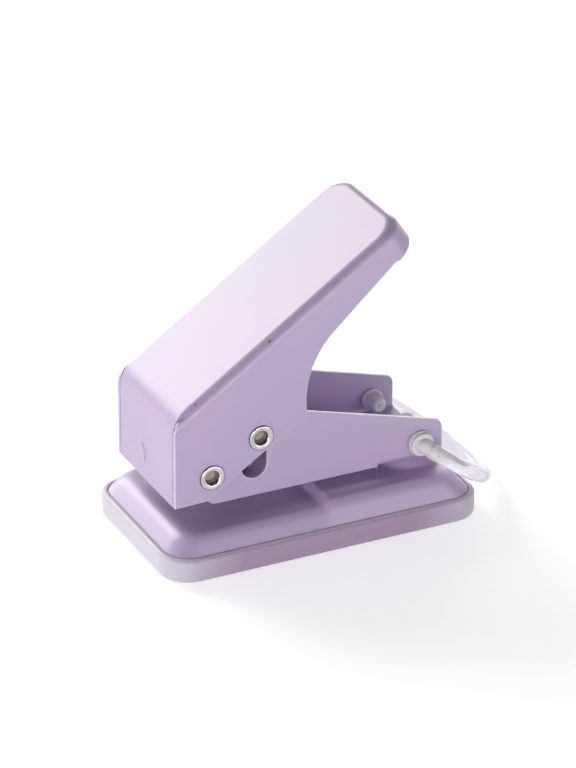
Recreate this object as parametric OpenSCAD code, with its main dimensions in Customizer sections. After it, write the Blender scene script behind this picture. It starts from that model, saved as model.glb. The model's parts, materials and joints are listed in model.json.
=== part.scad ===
// Single hole punch: a raised lever drives a sprung punch through a bed that stands in a chip tray.
// X runs from the punching end to the rear, Z is up, and the origin is the middle of the tray's underside.

/* [Tray] */
// Length over the tray's walls
tray_len = 88; // [76:0.5:110]
// Width over the tray's walls
tray_wid = 49.4; // [44:0.2:64]
// Height of the tray's rim
tray_h = 6.3; // [5:0.1:9]
// Wall of the tray
tray_wall = 1.4; // [1:0.1:2.2]
// Floor of the tray
tray_floor = 1.2; // [0.8:0.1:2.2]
// Corner radius of the tray in plan
tray_r = 8; // [5:0.5:12]
// Rounding along the tray's lower edge
tray_edge = 0.8; // [0.4:0.1:2.4]

/* [Base plate] */
// Sheet of the base plate
plate_t = 1.0; // [0.7:0.1:1.4]
// Slack between the base plate's skirt and the tray's wall
skirt_gap = 0.15; // [0.1:0.05:0.4]
// Height of the paper bed above the table
bed_z = 10.6; // [9.6:0.1:13]
// Rise from the paper bed to the rear bed
step_h = 1.4; // [0.8:0.1:2.2]
// Foot of the ramp between the two beds, from the middle of the tray
step_x = -0.6; // [-4:0.2:6]
// Length of the ramp
step_run = 3.4; // [2:0.2:6]
// Slope of the base at its punching end, measured along X
slope_x = 6.9; // [5:0.1:9]
// Slope of the base at its rear end, measured along X
rear_slope = 8; // [6.5:0.1:10]
// Slope of the base at its sides, measured along Y
slope_y = 4.4; // [2.5:0.1:5.5]
// Middle of the raised pad under the frame's web
pad_x = 31; // [26:0.5:33]
// Length of the raised pad
pad_len = 9.2; // [7:0.2:12]
// Slope around the raised pad
pad_slope = 5; // [3:0.1:6]

/* [Frame] */
// Width over the frame's side walls
frame_w = 28.4; // [25:0.2:31]
// Sheet of the frame
frame_t = 1.0; // [0.8:0.1:1.4]
// Throat between the paper bed and the frame's web
throat = 4.3; // [4.2:0.1:6]
// Rear edge of the ears
ear_x = 36.6; // [33:0.2:40]
// Height of the ears' top corner above the web's underside
ear_rise = 10.3; // [9:0.1:13]
// Fall of the walls' top edge towards the rear
ear_slope = 15; // [8:0.5:18]
// Rounding of the ears' top corner
ear_r = 2.6; // [1:0.1:4]
// Length of the bend that joins each wall to the web
bend_len = 18.4; // [12:0.2:22]
// Outer radius of that bend
bend_r = 1.8; // [1.5:0.1:2.6]
// Width of the web's tongue between the walls
tongue_w = 21; // [17:0.5:23]

/* [Lever] */
// Washers between the lever's side plates and the frame
washer_t = 1.6; // [0.6:0.1:2]
// Side play of each washer
washer_gap = 0.2; // [0.1:0.05:0.3]
// Sheet of the lever
handle_t = 1.2; // [0.9:0.1:1.5]
// Slope of the lever's top when it is up
handle_tilt = 34.4; // [30:0.2:38]
// Height of the lever's top over the pivot, square to the top
top_rise = 19.7; // [18:0.1:23]
// Front flap ahead of the pivot
flap_reach = 10.2; // [9:0.1:13]
// Tail end behind the pivot, along the top
tail_reach = 76.7; // [70:0.1:84]
// Depth of the tail's edge under the top
tail_depth = 8.5; // [7:0.1:10]
// Bend from the lever's top into its side plates and round its tail
side_bend = 2.5; // [2:0.1:4]
// Bend between the lever's top and the front flap
flap_bend = 8; // [5:0.5:10]
// Corner radius of the tail seen square to the top
tail_r = 7.5; // [5:0.5:11]

/* [Mechanism] */
// Pivot rivet along X with the lever up
pivot_x = -29.4; // [-31:0.1:-27]
// Pivot rivet above the web's underside
pivot_up = 9.4; // [8.6:0.1:11]
// Drive rivet behind the pivot rivet
drive_dx = 13.4; // [12:0.1:15]
// Drive rivet above the pivot rivet
drive_dz = 8.2; // [7.4:0.1:9]
// Turn of the lever from up to fully pressed
press_angle = 32; // [24:0.5:33]
// Shank radius of both rivets
shank_r = 2.3; // [1.9:0.05:2.5]
// Flange radius of both rivets
flange_r = 3.4; // [3:0.1:4]
// Clearance of the pivot rivet's shank in the frame's slot
slot_gap = 0.35; // [0.3:0.05:0.6]
// Half width of the upright slot in the frame that the drive rivet goes down in
drive_slot_r = 3.5; // [3:0.1:3.7]
// Room under the drive rivet at the slot's foot when the lever is down
drive_slot_foot = 2; // [1:0.1:3]
// Radius of the cutting part of the punch
punch_r = 3.0; // [2:0.05:3.2]
// Running clearance of the turning and sliding fits
fit_gap = 0.05; // [0.02:0.01:0.09]
// Wire of the return spring
wire_d = 0.8; // [0.6:0.05:0.9]
// Mean radius of the return spring
coil_r = 5.2; // [5:0.1:5.6]
// Active turns of the return spring between its closed end turns
coil_turns = 2.5; // [2:0.5:3]

/* [Loop] */
// Loop hole behind the middle of the tray
bail_x = 30.3; // [27:0.1:32]
// Loop hole above the web's underside
bail_up = 4.6; // [4:0.1:6]
// Radius of the loop's rod
bail_r = 2; // [1.2:0.1:2.2]
// Radius of the loop's round end, along the middle of the rod
bail_bend = 19.3; // [18.6:0.1:21]
// Angle at which the loop's legs spread
bail_spread = 25; // [15:0.5:27]

/* [Hidden] */
$fn = 64;
eps = 0.01;

LILAC = [0.76, 0.71, 0.83];
NICKEL = [0.80, 0.79, 0.78];
STEEL = [0.55, 0.56, 0.58];
FROST = [0.90, 0.89, 0.94, 0.6];

// Heights that stack up from the tray
skirt_top = tray_h - 0.3;
rear_z = bed_z + step_h;
web_z = bed_z + throat;
web_top = web_z + frame_t;
wall_z = web_z + 0.15;
pivot_z = web_z + pivot_up;
drive_x = pivot_x + drive_dx;
drive_z = pivot_z + drive_dz;
bail_z = web_z + bail_up;

// Widths that stack up from the frame
handle_w = frame_w + 2 * (washer_t + washer_gap + handle_t);
bail_w = frame_w / 2 + 2.6;

// Loop: straight spreading legs, tangent to the round end, which rests on the table
bail_c = (bail_bend * cos(bail_spread) - bail_w) / tan(bail_spread) + bail_bend * sin(bail_spread);
bail_len = bail_c + bail_bend;
bail_tilt = asin((bail_z - bail_r) / bail_len);

// Lever motion: the drive rivet goes straight down while the pivot rivet slides forward in its slot
lever_r = norm([drive_dx, drive_dz]);
lever_a0 = atan2(drive_dz, drive_dx);
lever_a1 = lever_a0 - press_angle;
stroke = drive_dz - lever_r * sin(lever_a1);
pivot_shift = lever_r * (lever_a1 < 0 ? 1 : cos(lever_a1)) - drive_dx;

// Base plate outline
skirt_len = tray_len - 2 * (tray_wall + skirt_gap);
skirt_wid = tray_wid - 2 * (tray_wall + skirt_gap);
skirt_r = tray_r - tray_wall - skirt_gap;
pad_wid = frame_w - 2 * (bend_r + 3);
// Share of the slope's run and of its rise at each crease between the skirt and the flat top
CROWN = [[0, 0], [0.36, 0.585], [0.5, 0.765], [0.65, 0.89], [0.82, 0.972], [1, 1]];

// Punch stack
head_r = 4.5;
head_z = drive_z - shank_r - 0.9;
cap_t = 0.8;
cap_z = head_z - cap_t;
tip_z = web_z + 0.2;
collar_r = coil_r - wire_d / 2 - 0.4;
die_t = 2;
die_len = 24;
die_wid = 15;

// Lever outline, as offsets from the pivot with the lever up
flap_x = pivot_x - flap_reach;
front_edge = [[0, -6.7], [flap_reach - 1.5, -6.35]];
diagonal_end = [26, 11.7];
neck_c = [49.7, 15.9];
neck_r = 23.7;
under_slope = 42.5;
inner_y = handle_w / 2 - handle_t;
seam = 0.35;
ARROW = [[-2.7, 0], [2.7, 0], [0, -6]];
arrow_y = 1.2;
arrow_up = 3.4;
arrow_h = 0.35;

// Points of an arc
function arc(c, r, a0, a1, n = 8) = [for (i = [0:n]) let (a = a0 + (a1 - a0) * i / n) c + r * [cos(a), sin(a)]];

// Points of a rectangle with round corners, from x0 to x1 and centred on Y
function rounded(x0, x1, w, r) = concat(
    arc([x1 - r, w / 2 - r], r, 0, 90),
    arc([x0 + r, w / 2 - r], r, 90, 180),
    arc([x0 + r, r - w / 2], r, 180, 270),
    arc([x1 - r, r - w / 2], r, 270, 360));

// Point at a distance along and square to the lever's top, counted from the pivot
function on_lever(u, w) = [pivot_x, pivot_z] + u * [cos(handle_tilt), sin(handle_tilt)]
    + w * [-sin(handle_tilt), cos(handle_tilt)];

// Centre of a bend of radius r under the lever's top that stands at x
function bend_at(x, r) = let (w = top_rise - r)
    on_lever((x - on_lever(0, w).x) / cos(handle_tilt), w);

// Plate of a side outline given in X and Z, centred on Y
module side_plate(points, w) {
    rotate([90, 0, 0])
        linear_extrude(w, center = true) polygon(points);
}

// Rod along Y
module rod_y(x, z, r, y0, y1) {
    translate([x, y0, z]) rotate([-90, 0, 0]) cylinder(r = r, h = y1 - y0);
}

// Both halves of something made on the near side
module both_sides() {
    children();
    mirror([0, 1, 0]) children();
}

// Slot along Y between two centres in X and Z
module slot_y(a, b, r, w) {
    d = b - a;
    rod_y(a.x, a.y, r, -w / 2, w / 2);
    rod_y(b.x, b.y, r, -w / 2, w / 2);
    translate([a.x, 0, a.y])
        rotate([0, -atan2(d.y, d.x), 0])
            translate([0, -w / 2, -r]) cube([norm(d), w, 2 * r]);
}

// Thin slice of a rounded rectangle, the stations of a pressed shell
module slice(x0, x1, w, r, z) {
    translate([0, 0, z - eps]) linear_extrude(eps) polygon(rounded(x0, x1, w, r));
}

module chip_tray() {
    color(FROST) difference() {
        hull() {
            for (a = [0:22.5:90]) {
                inset = tray_edge * (1 - sin(a));
                slice(inset - tray_len / 2, tray_len / 2 - inset, tray_wid - 2 * inset, tray_r - inset,
                      max(eps, tray_edge * (1 - cos(a))));
            }
            slice(-tray_len / 2, tray_len / 2, tray_wid, tray_r, tray_h);
        }
        translate([0, 0, tray_floor]) linear_extrude(tray_h)
            polygon(rounded(tray_wall - tray_len / 2, tray_len / 2 - tray_wall, tray_wid - 2 * tray_wall,
                            tray_r - tray_wall));
    }
}

// Pressed form of the base plate; d is the distance inside its outer face
module base_form(d) {
    x1 = skirt_len / 2 - d;
    w = skirt_wid - 2 * d;
    r = skirt_r - d;
    foot = tray_floor - (d > 0 ? 1 : 0);
    pad_x0 = pad_x - pad_len / 2 + d;
    pad_x1 = pad_x + pad_len / 2 - d;
    pad_w = pad_wid - 2 * d;
    translate([0, 0, foot]) linear_extrude(skirt_top - d - foot) polygon(rounded(-x1, x1, w, r));
    hull() for (c = CROWN)
        slice(slope_x * c.x - x1, x1 - rear_slope * c.x, w - 2 * slope_y * c.x, r - 0.4 * slope_y * c.x,
              skirt_top - d + (bed_z - skirt_top) * c.y);
    hull() for (c = CROWN) {
        rise = (rear_z - skirt_top) * c.y;
        slice(step_x + d + step_run * (1 - (rear_z - skirt_top - rise) / step_h), x1 - rear_slope * c.x,
              w - 2 * slope_y * c.x, r - 0.4 * slope_y * c.x, skirt_top - d + rise);
    }
    hull() for (c = CROWN)
        slice(pad_x0 - pad_slope * (1 - c.x), pad_x1 + 0.1 * pad_slope * (1 - c.x),
              pad_w + 2 * pad_slope * (1 - c.x), pad_slope - 0.3 * pad_slope * c.x,
              rear_z - d - 0.3 + (web_z - rear_z + 0.3) * c.y);
}

module base_plate() {
    color(LILAC) difference() {
        base_form(0);
        base_form(plate_t);
        translate([drive_x, 0, bed_z - 2 * plate_t]) cylinder(r = punch_r + 0.4, h = 3 * plate_t);
        die_rivet_places() cylinder(r = die_rivet_r, h = 4 * plate_t, center = true);
        base_rivet_places() cylinder(r = base_rivet_r, h = 6 * plate_t, center = true);
    }
}

die_rivet_r = 0.4 * punch_r;
die_rivet_dx = 0.36 * die_len;

// Places of the die's rivets, at the paper bed's face
module die_rivet_places() {
    for (s = [-1, 1]) translate([drive_x + s * die_rivet_dx, 0, bed_z]) children();
}

base_rivet_r = 0.65 * shank_r;
base_head_r = 1.6 * base_rivet_r;
base_rivet_dy = pad_wid / 2 - plate_t - base_head_r - 0.35;

// Places of the frame's rivets, at the web's underside
module base_rivet_places() {
    for (s = [-1, 1]) translate([pad_x, s * base_rivet_dy, web_z]) children();
}

module die_plate() {
    under = bed_z - plate_t;
    color(STEEL) difference() {
        translate([drive_x - die_len / 2, -die_wid / 2, under - die_t]) cube([die_len, die_wid, die_t]);
        translate([drive_x, 0, under - die_t - 1]) cylinder(r = punch_r + fit_gap, h = die_t + 2);
        translate([drive_x, 0, under - die_t - eps])
            cylinder(r1 = punch_r + 0.7, r2 = punch_r + fit_gap, h = die_t / 2);
        die_rivet_places() cylinder(r = die_rivet_r, h = 4 * die_t, center = true);
    }
}

module die_rivets() {
    foot = plate_t + die_t;
    color(NICKEL) die_rivet_places() {
        translate([0, 0, -foot]) cylinder(r = die_rivet_r, h = foot);
        translate([0, 0, -foot - 0.7 * die_rivet_r])
            cylinder(r1 = 1.4 * die_rivet_r, r2 = 1.75 * die_rivet_r, h = 0.7 * die_rivet_r);
    }
}

// Side wall of the frame: chamfered front, high middle under the lever, falling ear at the rear
module frame_wall_plate() {
    corner = [ear_x - ear_r, web_z + ear_rise - ear_r];
    crest_x = drive_x + drive_slot_r;
    crest_z = drive_z + drive_slot_r + 2.5;
    knee_z = corner.y + ear_r + (ear_x - crest_x) * tan(ear_slope);
    top_z = min(crest_z + 1, knee_z);
    front_x = pivot_x - pivot_shift - shank_r - 2.4;
    side_plate(concat(
        [[front_x, pivot_z - 2.6], [pivot_x + 1.6, wall_z], [ear_x - bend_len, wall_z],
         [ear_x - bend_len, web_z + bend_r], [ear_x, web_z + bend_r]],
        arc(corner, ear_r, 0, 90 - ear_slope),
        [[ear_x - (top_z - corner.y - ear_r) / tan(ear_slope), top_z],
         [drive_x - shank_r - 4, top_z], [front_x, pivot_z + 6]]), frame_w);
}

module frame() {
    inner_w = frame_w - 2 * frame_t;
    web_w = frame_w - 2 * bend_r;
    slot_x = drive_x - 0.4;
    slot_foot = drive_z - stroke - shank_r - drive_slot_foot + drive_slot_r;
    color(LILAC) difference() {
        union() {
            difference() {
                frame_wall_plate();
                cube([4 * ear_x, inner_w, 200], center = true);
            }
            translate([ear_x - bend_len, -web_w / 2, web_z]) cube([bend_len, web_w, frame_t]);
            both_sides() translate([ear_x - bend_len, -web_w / 2, web_z + bend_r]) rotate([0, 90, 0])
                intersection() {
                    difference() {
                        cylinder(r = bend_r, h = bend_len);
                        translate([0, 0, -1]) cylinder(r = bend_r - frame_t, h = bend_len + 2);
                    }
                    translate([0, -bend_r, 0]) cube([bend_r, bend_r, bend_len]);
                }
            translate([drive_x - 8.5, -tongue_w / 2, web_z])
                cube([ear_x - bend_len - drive_x + 9, tongue_w, frame_t]);
            translate([ear_x - 1, 0, web_z]) linear_extrude(frame_t)
                polygon(rounded(-1, 3.4, web_w - 8, 1.6));
        }
        slot_y([slot_x, drive_z], [slot_x, slot_foot], drive_slot_r, 2 * frame_w);
        slot_y([pivot_x - pivot_shift, pivot_z], [pivot_x, pivot_z], shank_r + slot_gap, 2 * frame_w);
        rod_y(bail_x, bail_z, bail_r + fit_gap, -frame_w, frame_w);
        translate([drive_x, 0, web_z - 1]) cylinder(r = bush_r, h = frame_t + 2);
        base_rivet_places() cylinder(r = base_rivet_r, h = 4 * frame_t, center = true);
    }
}

module base_rivets() {
    grip = plate_t + frame_t;
    color(NICKEL) base_rivet_places() {
        translate([0, 0, -plate_t]) cylinder(r = base_rivet_r, h = grip);
        translate([0, 0, frame_t]) cylinder(r1 = 1.9 * base_rivet_r, r2 = 1.3 * base_rivet_r, h = 0.65 * base_rivet_r);
        translate([0, 0, -plate_t - 0.5 * base_rivet_r])
            cylinder(r1 = 0.85 * base_head_r, r2 = base_head_r, h = 0.5 * base_rivet_r);
    }
}

bush_r = 1.33 * punch_r;

module guide_bush() {
    color(NICKEL) difference() {
        translate([drive_x, 0, web_z]) {
            cylinder(r = bush_r, h = frame_t);
            translate([0, 0, frame_t]) cylinder(r = collar_r, h = 1.4 * frame_t);
        }
        translate([drive_x, 0, web_z - 1]) cylinder(r = punch_r + fit_gap, h = 5 * frame_t);
    }
}

module punch() {
    color(STEEL) difference() {
        union() {
            translate([drive_x, 0, tip_z]) cylinder(r = punch_r, h = head_z - tip_z);
            translate([drive_x, 0, head_z]) cylinder(r = head_r, h = 2 * (drive_z - head_z) - 0.6);
        }
        rod_y(drive_x, drive_z, shank_r, -2 * head_r, 2 * head_r);
        rod_y(drive_x, tip_z - 4.4, 5, -2 * punch_r, 2 * punch_r);
    }
}

module spring_cap() {
    color(NICKEL) translate([drive_x, 0, cap_z]) difference() {
        cylinder(r = coil_r + wire_d, h = cap_t);
        translate([0, 0, -1]) cylinder(r = punch_r, h = cap_t + 2);
    }
}

// Spring path: closed end turns of small pitch, open turns between them
end_turns = 0.75;
end_pitch = wire_d + 0.5;
spring_z0 = web_top + wire_d / 2 + 0.03;
spring_z1 = cap_z - wire_d / 2 - 0.03;
all_turns = coil_turns + 2 * end_turns;
open_pitch = (spring_z1 - spring_z0 - 2 * end_turns * end_pitch) / coil_turns;
rings = 8 * all_turns;

function spring_z(t) = t < end_turns ? spring_z0 + t * end_pitch
    : t > all_turns - end_turns ? spring_z1 - (all_turns - t) * end_pitch
    : spring_z0 + end_turns * end_pitch + (t - end_turns) * open_pitch;
function spring_ring(t) = [for (k = [0:5]) let (r = coil_r + wire_d / 2 * cos(60 * k))
    [drive_x + r * cos(360 * t), r * sin(360 * t), spring_z(t) + wire_d / 2 * sin(60 * k)]];
spring_gap = min([for (i = [0:rings - 8]) spring_z((i + 8) / 8) - spring_z(i / 8)]) - wire_d;
echo(least_gap_between_spring_turns = spring_gap);

module return_spring() {
    points = [for (i = [0:rings]) each spring_ring(i / 8)];
    sides = [for (i = [0:rings - 1]) for (k = [0:5]) let (a = 6 * i + k, b = 6 * i + (k + 1) % 6)
        each [[a, a + 6, b + 6], [a, b + 6, b]]];
    last = 6 * rings;
    ends = [for (k = [1:4]) each [[0, k, k + 1], [last, last + k + 1, last + k]]];
    color(STEEL) polyhedron(points, concat(sides, ends));
}

// Tubular rivet along Y: long shank, hollow ends, rolled flanges outside the seats at +y and -y
module tubular_rivet(x, z, seat_y) {
    hollow_r = 0.78 * shank_r;
    lip = 0.42;
    bore = 2.2;
    color(NICKEL) both_sides() translate([x, 0, z]) rotate([90, 0, 0]) difference() {
        union() {
            cylinder(r = shank_r, h = seat_y + lip);
            rotate_extrude() polygon(concat(
                [[0, seat_y], [flange_r - lip, seat_y]],
                arc([flange_r - lip, seat_y + lip], lip, -90, 90, 6),
                [[hollow_r + lip, seat_y + 2 * lip]],
                arc([hollow_r + lip, seat_y + lip], lip, 90, 180, 4),
                [[0, seat_y + lip]]));
        }
        translate([0, 0, seat_y - bore]) cylinder(r = hollow_r, h = 2 * bore);
    }
}

module drive_rivet() {
    tubular_rivet(drive_x, drive_z, handle_w / 2 + 0.1);
}

module pivot_rivet() {
    tubular_rivet(pivot_x, pivot_z, handle_w / 2);
}

// Washers between the lever's plates and the frame's walls
module washers(x, z, play) {
    color(NICKEL) both_sides() difference() {
        rod_y(x, z, flange_r + 0.4, play - inner_y, -frame_w / 2 - washer_gap);
        rod_y(x, z, shank_r, -inner_y - 1, -frame_w / 2 + 1);
    }
}

module drive_washers() {
    washers(drive_x, drive_z, washer_gap / 2);
}

module pivot_washers() {
    washers(pivot_x, pivot_z, 0);
}

// Section of the lever's edge: straight down, round bend, flat top; radius R to the outside
function edge_section(R, d) = concat([[0, -3 * top_rise], [R, -3 * top_rise]],
    arc([R - side_bend + d, top_rise - side_bend], side_bend - d, 0, 90, 8), [[0, top_rise - d]]);

// Closed form of the lever, d inside its outer face: bent sides, drawn round tail and the bend into the flap
module handle_form(d) {
    w = handle_w / 2 - d;
    r = tail_r - d;
    start = tail_reach - tail_r;
    flap_c = bend_at(flap_x + flap_bend, flap_bend);
    end = on_lever(1.5 * tail_reach, top_rise - d);
    intersection() {
        translate([pivot_x, 0, pivot_z]) rotate([0, -handle_tilt, 0]) {
            both_sides() rotate([90, 0, 90]) mirror([1, 0, 0])
                translate([0, 0, -tail_reach]) linear_extrude(tail_reach + start) polygon(edge_section(w, d));
            translate([start, 0, 0]) {
                rotate([90, 0, 0]) linear_extrude(2 * (w - r), center = true) polygon(edge_section(r, d));
                both_sides() translate([0, r - w, 0]) rotate([0, 0, -90])
                    rotate_extrude(angle = 90) polygon(edge_section(r, d));
            }
        }
        side_plate(concat([[flap_x + d, pivot_z - 20]], arc(flap_c, flap_bend - d, 180, 90 + handle_tilt, 12),
                          [end, [end.x, pivot_z - 20]]), 2 * handle_w);
    }
}

// What is cut away under the lever: straight front edge, diagonal, round neck, straight underside and tail edge
module handle_under() {
    p = [pivot_x, pivot_z];
    diag_start = p + [front_edge[1].x - flap_reach, front_edge[1].y];
    diag_end = p + diagonal_end;
    c = p + neck_c;
    far = pivot_x + 1.5 * tail_reach;
    along = [cos(under_slope), sin(under_slope)];
    tangent = c + neck_r * [-along.y, along.x];
    start = tail_reach - tail_r;
    run = (start - (tangent - p) * [cos(handle_tilt), sin(handle_tilt)]) / cos(under_slope - handle_tilt);
    side_plate([[flap_x - 1, pivot_z + front_edge[0].y], diag_start, diag_end, [far, diag_end.y],
                [far, pivot_z - 60], [flap_x - 1, pivot_z - 60]], 2 * handle_w);
    rod_y(c.x, c.y, neck_r, -handle_w, handle_w);
    side_plate([tangent, tangent + run * along, on_lever(start + 1.2, top_rise - tail_depth),
                on_lever(1.5 * tail_reach, top_rise - tail_depth), [far, pivot_z], [c.x, pivot_z], c],
               2 * handle_w);
}

// Arrow pressed out of the front flap that points to the punch
module flap_arrow() {
    translate([flap_x - arrow_h, arrow_y, pivot_z + arrow_up]) rotate([90, 0, 90])
        linear_extrude(arrow_h + handle_t / 2) polygon(ARROW);
}

// Slit between the front flap and a side plate, up the flap and round its bend
module flap_seam() {
    c = bend_at(flap_x + flap_bend, flap_bend);
    end = 90 + handle_tilt + 12;
    translate([0, seam / 2 - inner_y, 0]) side_plate(concat(
        [[flap_x - 1, pivot_z - 20]], arc(c, flap_bend + 1, 180, end, 8),
        arc(c, flap_bend - handle_t - eps, end, 180, 8), [[flap_x + handle_t + eps, pivot_z - 20]]), seam);
}

module handle() {
    color(LILAC) {
        difference() {
            handle_form(0);
            handle_form(handle_t);
            handle_under();
            rod_y(drive_x, drive_z, shank_r + fit_gap, -handle_w, handle_w);
            rod_y(pivot_x, pivot_z, shank_r, -handle_w, handle_w);
            both_sides() flap_seam();
        }
        flap_arrow();
    }
}

// Loop with a plug at each ear: tapered bulb with a stub inside, neck in the hole, two discs and the rod outside.
// The legs are a hair slimmer than the round end and run a little way into it.
module bail() {
    disc = 1.72 * bail_r;
    plug = bail_r + 0.9;
    outer = frame_w / 2 + 0.1;
    inner = frame_w / 2 - frame_t - 0.1;
    leg = (bail_bend * cos(bail_spread) - bail_w) / sin(bail_spread);
    color(FROST) translate([bail_x, 0, bail_z]) {
        both_sides() rotate([90, 0, 0]) rotate_extrude() polygon(concat(
            [[0, inner - 5.6], [0.25 * bail_r, inner - 5.6], [0.35 * bail_r, inner - 4.9]],
            arc([0.5 * bail_r, inner - 4.1], 0.55 * bail_r, -90, -10, 4),
            [[0.85 * plug, inner - 1.1], [plug, inner - 0.9], [plug, inner], [bail_r, inner], [bail_r, outer],
             [disc, outer], [disc, outer + 0.8], [0.8 * disc, outer + 0.9], [0.92 * disc, outer + 1],
             [0.92 * disc, outer + 1.8], [0.8 * disc, outer + 2], [0, outer + 2]]));
        rotate([0, bail_tilt, 0]) {
            both_sides() translate([0, -bail_w, 0]) {
                sphere(r = bail_r);
                rotate([0, 90, -bail_spread]) cylinder(r = 0.99 * bail_r, h = leg + 0.3 * bail_r);
            }
            translate([bail_c, 0, 0]) rotate([0, 0, -90 - bail_spread])
                rotate_extrude(angle = 180 + 2 * bail_spread) translate([bail_bend, 0]) circle(r = bail_r);
        }
    }
}

echo(pivot = [pivot_x, pivot_z], drive = [drive_x, drive_z], stroke = stroke, shift = pivot_shift);
echo(bail = [bail_x, bail_z], tilt = bail_tilt, length = bail_len, spring_foot = web_top);

chip_tray();
base_plate();
die_plate();
die_rivets();
frame();
base_rivets();
guide_bush();
punch();
spring_cap();
return_spring();
drive_rivet();
drive_washers();
handle();
pivot_rivet();
pivot_washers();
bail();
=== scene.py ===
import json
import math

import bmesh
import bpy
from mathutils import Matrix, Vector
from mathutils.geometry import delaunay_2d_cdt


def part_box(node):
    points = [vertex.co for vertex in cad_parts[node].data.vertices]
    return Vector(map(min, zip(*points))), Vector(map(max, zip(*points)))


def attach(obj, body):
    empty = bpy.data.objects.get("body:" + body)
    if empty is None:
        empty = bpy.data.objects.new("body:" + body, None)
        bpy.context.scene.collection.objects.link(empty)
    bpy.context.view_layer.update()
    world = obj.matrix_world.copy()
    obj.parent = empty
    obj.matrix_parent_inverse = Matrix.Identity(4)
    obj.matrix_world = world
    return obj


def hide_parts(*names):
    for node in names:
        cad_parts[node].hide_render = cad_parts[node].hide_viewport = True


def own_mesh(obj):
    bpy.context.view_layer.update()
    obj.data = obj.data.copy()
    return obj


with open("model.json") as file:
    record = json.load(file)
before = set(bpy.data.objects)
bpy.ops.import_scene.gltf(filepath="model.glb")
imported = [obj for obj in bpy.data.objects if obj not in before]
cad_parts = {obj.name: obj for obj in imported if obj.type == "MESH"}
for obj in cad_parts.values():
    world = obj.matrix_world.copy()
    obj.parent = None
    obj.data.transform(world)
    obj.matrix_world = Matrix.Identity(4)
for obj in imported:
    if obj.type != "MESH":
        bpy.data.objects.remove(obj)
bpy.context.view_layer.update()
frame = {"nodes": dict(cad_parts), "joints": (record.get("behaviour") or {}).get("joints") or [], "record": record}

MM = 0.001
BODIES = frame["record"]["behaviour"]["bodies"]
BODY_OF = {node: body for body, nodes in BODIES.items() for node in nodes}
JOINT = {joint["name"]: joint for joint in frame["joints"]}


def box_mm(node):
    """Lowest and highest corner of a node, in millimetres."""
    lo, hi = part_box(node)
    return lo / MM, hi / MM


def middle_mm(node):
    """Middle of a node's box, in millimetres."""
    lo, hi = box_mm(node)
    return (lo + hi) / 2


# Base plate, in millimetres: its two beds and the ramp between them
BED_Z, REAR_Z = 10.6, 12.0
RAMP_X, RAMP_RUN = -0.6, 3.4
# Run of its slopes at the front, the rear and the sides, and the shape of their crowned section
SLOPE_X, REAR_SLOPE, SLOPE_Y = 6.9, 8.0, 4.4
CREST_SHARE, CREST_RISE, CREST_SINE, CREST_DROP = 0.364, 0.585, 1.15, 1.304
# Corner radius at the skirt, the share of the side slope's run that it loses, and the sheet
PLATE_R, PLATE_R_LOSS, PLATE_T = 6.45, 0.4, 1.0
SKIRT_UNDER_RIM = 0.3
# Raised pad under the frame, and the holes in the front bed
PAD_X, PAD_LEN, PAD_R, PAD_SLOPE, PAD_BACK_SLOPE, PAD_INSET = 31.0, 9.2, 3.5, 5.0, 0.5, 4.8
PUNCH_HOLE_R, DIE_RIVET_R, DIE_RIVET_DX = 3.4, 1.2, 8.64

BASE_FOOT_Z = box_mm("base_plate")[0].z
BASE_HALF_L, BASE_HALF_W, PAD_Z = box_mm("base_plate")[1]
SKIRT_TOP_Z = box_mm("chip_tray")[1].z - SKIRT_UNDER_RIM
PAD_HALF_W = box_mm("frame")[1].y - PAD_INSET
PAD_X0, PAD_X1 = PAD_X - PAD_LEN / 2, PAD_X + PAD_LEN / 2

# Mesh of the base plate, in millimetres: spacing of its points, and their clearance from rim and holes
SKIRT_STEP, COARSE_STEP, RAMP_STEP, PAD_STEP, REAR_STEP, PAD_BACK_STEP = 1.2, 1.4, 0.4, 0.5, 1.0, 0.1
RAMP_MARGIN, GRID_GAP, RIM_SLACK = 1.0, 0.35, 0.01
SLOPE_ROWS, HOLE_SIDES = 18, 40
# Triangles out to the points' convex hull, and the distance at which two points are one
HULL_TRIANGLES, SAME_POINT = 0, 1e-6

# Tray, in millimetres: corner radius, wall, floor, and the radii of its foot, fillet and lips
TRAY_R, TRAY_WALL, TRAY_FLOOR = 8.0, 1.4, 1.2
TRAY_FOOT_R, TRAY_FILLET_R, TRAY_INNER_LIP_R, TRAY_OUTER_LIP_R = 0.8, 0.6, 0.1, 1.15
# Thicker seat along its rim, close to the base's skirt, and the band of the lip that stays milky, free of the
# painted shade, as a painted highlight along the rim
TRAY_SEAT_GAP, TRAY_SEAT_H, TRAY_SEAT_RUN = 0.1, 1.4, 0.6
TRAY_LIP_H, TRAY_LIP_FADE = 0.4, 0.5
TRAY_LIP_Z = box_mm("chip_tray")[1].z - TRAY_LIP_H

# Lever, in millimetres: slope of its top in degrees, sheet, and reaches from the pivot of the cuts across it
LEVER_TILT, LEVER_T = 34.4, 1.2
LEVER_NEAR_CUTS, LEVER_CUT_FROM, LEVER_CUT_TO, LEVER_CUT_STEP = [5.5, 6.5, 8.0], 11.0, 68.0, 4.0
# Arrow in its flap: middle, half width, height of the raised solid, depth as pressed in, and its zone
ARROW_Y, ARROW_HALF_W, ARROW_RAISED, ARROW_DEPTH = 1.2, 2.8, 0.35, 0.5
ARROW_ZONE_X, ARROW_UNDER_PIVOT = 0.6, 5.0
# A wall of the arrow takes the pale edge paint, a painted highlight, where its normal's Y is lower than this
HIGHLIGHT_WALL_Y = -0.5
# Zone of the seams between flap and side plates, and the share of the full rounding at seams and arrow
SEAM_ZONE_X, SEAM_ZONE_Y = 5.0, 0.5
SEAM_SHARE, ARROW_SHARE = 0.3, 0.6

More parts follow.
